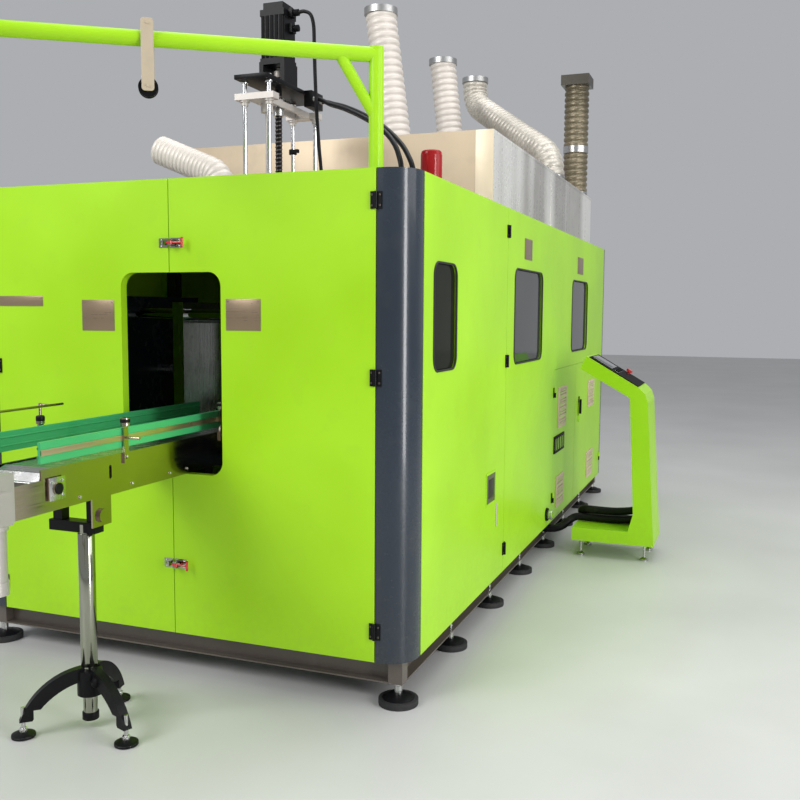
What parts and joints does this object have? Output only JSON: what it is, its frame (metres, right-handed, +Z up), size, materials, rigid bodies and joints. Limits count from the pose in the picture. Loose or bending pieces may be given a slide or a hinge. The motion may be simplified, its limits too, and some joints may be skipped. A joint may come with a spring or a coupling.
{
  "type": "blow moulding machine",
  "caption": "Enclosed linear stretch blow moulding machine with out-feed conveyor, roof jib, exhaust ducts and console.",
  "frame": {"origin": "on the floor under the middle of the cabinet", "axes": "+X along the front face to the windowed side, +Y from the front face to the rear, +Z up"},
  "size_m": [2.83, 6.0948, 3.5],
  "materials": {
    "green_paint": "gloss lime-green powder coat",
    "slate_paint": "dark blue-grey gloss paint",
    "black_rubber": "matt black",
    "bright_steel": "bright machined steel",
    "dark_glass": "dark tinted pane",
    "black_metal": "black, half matt",
    "red_plastic": "red",
    "brushed_sheet": "brushed stainless sheet",
    "duct_foil": "ribbed silver-white foil",
    "dark_plastic": "dark",
    "beige_paint": "beige",
    "white_aluminium": "pale cast aluminium",
    "green_plastic": "slippery green plastic"
  },
  "bodies": {
    "cabinet": {"base_frame": "slate_paint", "foot_pads": "black_rubber", "levelling_studs": "bright_steel", "frame_posts": "slate_paint", "top_rails": "slate_paint", "corner_posts": "slate_paint", "roof_panels": "brushed_sheet", "left_panels": "green_paint", "rear_panel": "green_paint", "right_panel": "green_paint", "side_windows": "dark_glass", "fixed_hinge_leaves": "black_metal", "exhaust_hood": "brushed_sheet", "duct_collars": "bright_steel", "exhaust_ducts": "duct_foil", "beacon": "red_plastic", "jib_post": "green_paint", "stretch_columns": "bright_steel", "servo_motor": "black_metal", "clamp_frame": "slate_paint", "tie_bars": "bright_steel", "oven_banks": "brushed_sheet", "preform_rail": "bright_steel", "conveyor_frame": "brushed_sheet", "slat_chain": "white_aluminium", "guide_rails": "green_plastic", "gearmotor": "white_aluminium", "stand_base": "black_metal", "stand_column": "bright_steel", "console_body": "green_paint", "console_panel": "black_metal", "air_hoses": "black_rubber", "motor_cable": "black_rubber", "console_cables": "black_rubber"},
    "right_front_door": {"front_door_right": "green_paint", "right_door_hinges": "black_metal", "latch_bases": "bright_steel"},
    "left_front_door": {"front_door_left": "green_paint", "left_door_hinges": "black_metal", "latch_keepers": "bright_steel"},
    "side_access_door": {"side_door": "green_paint", "side_door_window": "dark_glass", "side_door_hinges": "black_metal"},
    "upper_latch": {"latch_handle_upper": "red_plastic"},
    "lower_latch": {"latch_handle_lower": "red_plastic"},
    "front_panel_door": {"panel_door_left": "green_paint"},
    "rear_panel_door": {"panel_door_right": "green_paint"},
    "door_handle": {"swing_handle": "dark_plastic"},
    "jib": {"jib_arm": "green_paint"},
    "trolley": {"trolley_frame": "beige_paint"},
    "roller": {"trolley_roller": "black_metal"},
    "pulley": {"trolley_pulley": "black_metal"},
    "carriage": {"stretch_carriage": "white_aluminium", "screw_nut": "bright_steel"},
    "screw": {"ball_screw": "black_metal"},
    "right_platen": {"platen_right": "bright_steel"},
    "left_platen": {"platen_left": "bright_steel"},
    "drive": {"drive_shaft": "bright_steel"},
    "tail": {"tail_shaft": "bright_steel"},
    "stop_button": {"emergency_button": "red_plastic"}
  },
  "joints": [
    {"name": "right_front_door_hinge", "type": "hinge", "parent": "cabinet", "child": "right_front_door", "pos_m": [0.928, -2.448, 1], "axis": [0, 0, 1], "range_deg": [0, 105]},
    {"name": "left_front_door_hinge", "type": "hinge", "parent": "cabinet", "child": "left_front_door", "pos_m": [-0.928, -2.448, 1], "axis": [0, 0, -1], "range_deg": [0, 105]},
    {"name": "side_door_hinge", "type": "hinge", "parent": "cabinet", "child": "side_access_door", "pos_m": [1.078, -0.984, 1], "axis": [0, 0, 1], "range_deg": [0, 110]},
    {"name": "front_panel_door_hinge", "type": "hinge", "parent": "cabinet", "child": "front_panel_door", "pos_m": [1.078, 0.29, 0.7], "axis": [0, 0, -1], "range_deg": [0, 40]},
    {"name": "rear_panel_door_hinge", "type": "hinge", "parent": "cabinet", "child": "rear_panel_door", "pos_m": [1.078, 2.24, 0.7], "axis": [0, 0, 1], "range_deg": [0, 110]},
    {"name": "swing_handle_turn", "type": "hinge", "parent": "rear_panel_door", "child": "door_handle", "pos_m": [1.07, 1.236, 0.82], "axis": [1, 0, 0], "range_deg": [0, 90]},
    {"name": "upper_latch_turn", "type": "hinge", "parent": "right_front_door", "child": "upper_latch", "pos_m": [0.024, -2.464, 1.838], "axis": [0, 0, 1], "range_deg": [-90, 0]},
    {"name": "lower_latch_turn", "type": "hinge", "parent": "right_front_door", "child": "lower_latch", "pos_m": [0.024, -2.464, 0.486], "axis": [0, 0, 1], "range_deg": [-90, 0]},
    {"name": "jib_swing", "type": "hinge", "parent": "cabinet", "child": "jib", "pos_m": [0.868, -2.3, 2.3], "axis": [0, 0, 1], "range_deg": [-40, 100]},
    {"name": "trolley_slide", "type": "slide", "parent": "jib", "child": "trolley", "axis": [-0.829, -0.5592, 0], "range_m": [-0.5, 0.65]},
    {"name": "roller_turn", "type": "hinge", "parent": "trolley", "child": "roller", "pos_m": [0.15834, -2.77867, 2.5963], "axis": [0.5592, -0.829, 0], "continuous": true},
    {"name": "pulley_turn", "type": "hinge", "parent": "trolley", "child": "pulley", "pos_m": [0.15834, -2.77867, 2.375], "axis": [0.5592, -0.829, 0], "continuous": true},
    {"name": "carriage_slide", "type": "slide", "parent": "cabinet", "child": "carriage", "axis": [0, 0, -1], "range_m": [0, 0.4]},
    {"name": "screw_turn", "type": "hinge", "parent": "cabinet", "child": "screw", "pos_m": [0, -1.48, 2.4], "axis": [0, 0, 1], "continuous": true},
    {"name": "right_platen_slide", "type": "slide", "parent": "cabinet", "child": "right_platen", "axis": [-1, 0, 0], "range_m": [0, 0.1695]},
    {"name": "left_platen_slide", "type": "slide", "parent": "cabinet", "child": "left_platen", "axis": [1, 0, 0], "range_m": [0, 0.1695]},
    {"name": "drive_shaft_turn", "type": "hinge", "parent": "cabinet", "child": "drive", "pos_m": [0, -3.27, 0.965], "axis": [1, 0, 0], "continuous": true},
    {"name": "tail_shaft_turn", "type": "hinge", "parent": "cabinet", "child": "tail", "pos_m": [0, -1.965, 0.965], "axis": [1, 0, 0], "continuous": true},
    {"name": "stop_button_press", "type": "slide", "parent": "cabinet", "child": "stop_button", "axis": [-0.5029, 0, -0.8644], "range_m": [0, 0.004], "stiffness_N_per_m": 1500}
  ],
  "couplings": [
    {"joint": "left_platen_slide", "follows": "right_platen_slide", "ratio": 1},
    {"joint": "tail_shaft_turn", "follows": "drive_shaft_turn", "ratio": 1}
  ]
}
